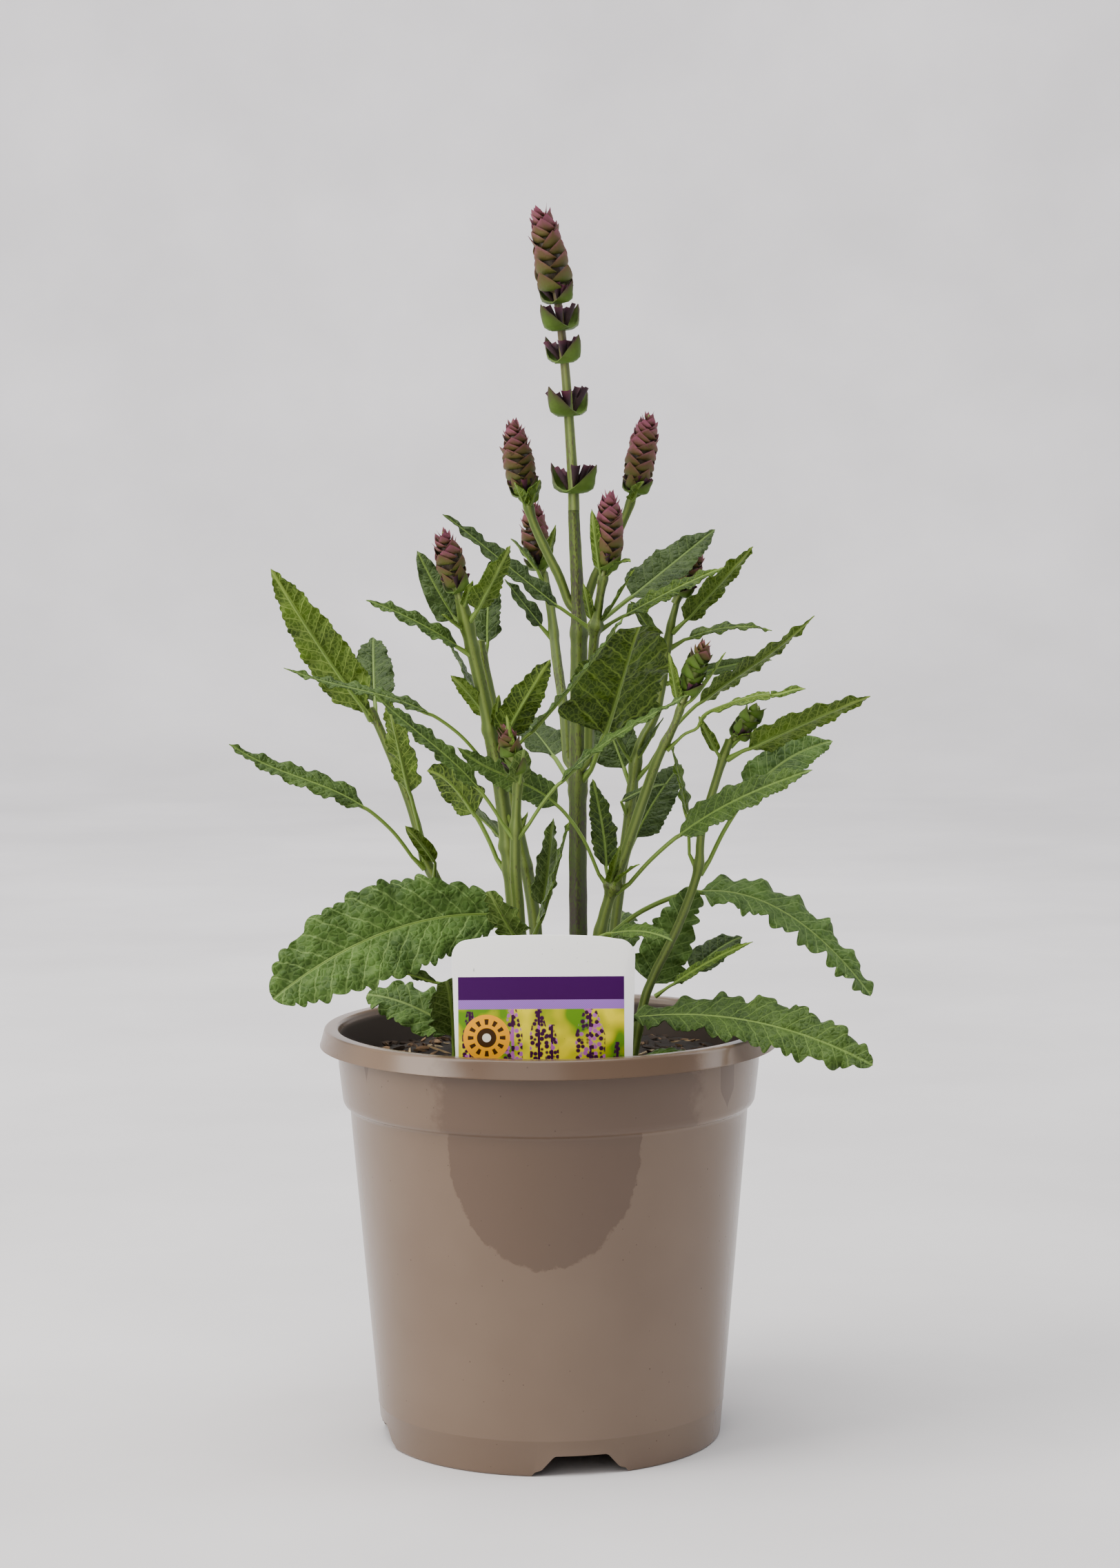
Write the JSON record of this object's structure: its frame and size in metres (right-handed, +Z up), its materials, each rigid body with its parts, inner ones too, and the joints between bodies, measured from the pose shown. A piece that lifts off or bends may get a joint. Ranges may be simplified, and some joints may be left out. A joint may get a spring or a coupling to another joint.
{
  "type": "potted sage",
  "caption": "Young flowering sage with upright stems, wrinkled lance-shaped leaves and purple flower spikes, in a taupe round nursery pot with a plastic plant label.",
  "frame": {"origin": "on the ground, on the pot's axis, which is within two millimetres of the middle of the whole object's footprint", "axes": "+Z up along the pot's axis, -Y towards the front that carries the plant label, +X to the right seen from that front"},
  "size_m": [0.2351, 0.17, 0.4535],
  "materials": {
    "pot_plastic": "glossy taupe moulded plastic with fine dark specks",
    "compost": "damp dark bark compost",
    "label_plastic": "thin printed plastic sheet",
    "stem_green": "light green with purple-brown flecks and fine hairs",
    "leaf_green": "wrinkled, net-veined, softly shining",
    "flower_purple": "overlapping purple-brown bracts and calyces"
  },
  "bodies": {
    "root": {"compost": "compost", "leaf_back_left_up": "leaf_green", "leaf_back_right_flat": "leaf_green", "leaf_back_right_long": "leaf_green", "leaf_back_right_up": "leaf_green", "leaf_centre_back_left": "leaf_green", "leaf_centre_back_right": "leaf_green", "leaf_centre_basal": "leaf_green", "leaf_centre_front": "leaf_green", "leaf_far_left_back": "leaf_green", "leaf_far_left_long": "leaf_green", "leaf_far_left_low": "leaf_green", "leaf_far_left_up": "leaf_green", "leaf_far_left_upright": "leaf_green", "leaf_far_right_back": "leaf_green", "leaf_far_right_left": "leaf_green", "leaf_far_right_out": "leaf_green", "leaf_far_right_upright": "leaf_green", "leaf_front_left_basal": "leaf_green", "leaf_front_left_broad": "leaf_green", "leaf_front_left_edge": "leaf_green", "leaf_front_left_inner": "leaf_green", "leaf_front_left_long": "leaf_green", "leaf_front_left_low": "leaf_green", "leaf_front_left_out": "leaf_green", "leaf_front_left_up": "leaf_green", "leaf_front_right_left": "leaf_green", "leaf_front_right_low": "leaf_green", "leaf_front_right_out": "leaf_green", "leaf_front_right_rim": "leaf_green", "leaf_front_right_top": "leaf_green", "leaf_front_short_left": "leaf_green", "leaf_front_short_right": "leaf_green", "leaf_shoot_low_left": "leaf_green", "leaf_shoot_right_long": "leaf_green", "leaf_shoot_right_out": "leaf_green", "plant_label": "label_plastic", "pot": "pot_plastic", "spike_back_right": "flower_purple", "spike_centre": "flower_purple", "spike_far_right": "flower_purple", "spike_front_left": "flower_purple", "spike_front_right": "flower_purple", "spike_front_short": "flower_purple", "spike_shoot_high_left": "flower_purple", "spike_shoot_high_right": "flower_purple", "spike_shoot_low_left": "flower_purple", "spike_shoot_low_right": "flower_purple", "stem_back_left": "stem_green", "stem_back_right": "stem_green", "stem_centre": "stem_green", "stem_far_left": "stem_green", "stem_far_right": "stem_green", "stem_front_left": "stem_green", "stem_front_right": "stem_green", "stem_front_short": "stem_green", "stem_shoot_high_left": "stem_green", "stem_shoot_high_right": "stem_green", "stem_shoot_low_left": "stem_green", "stem_shoot_low_right": "stem_green"}
  },
  "joints": []
}
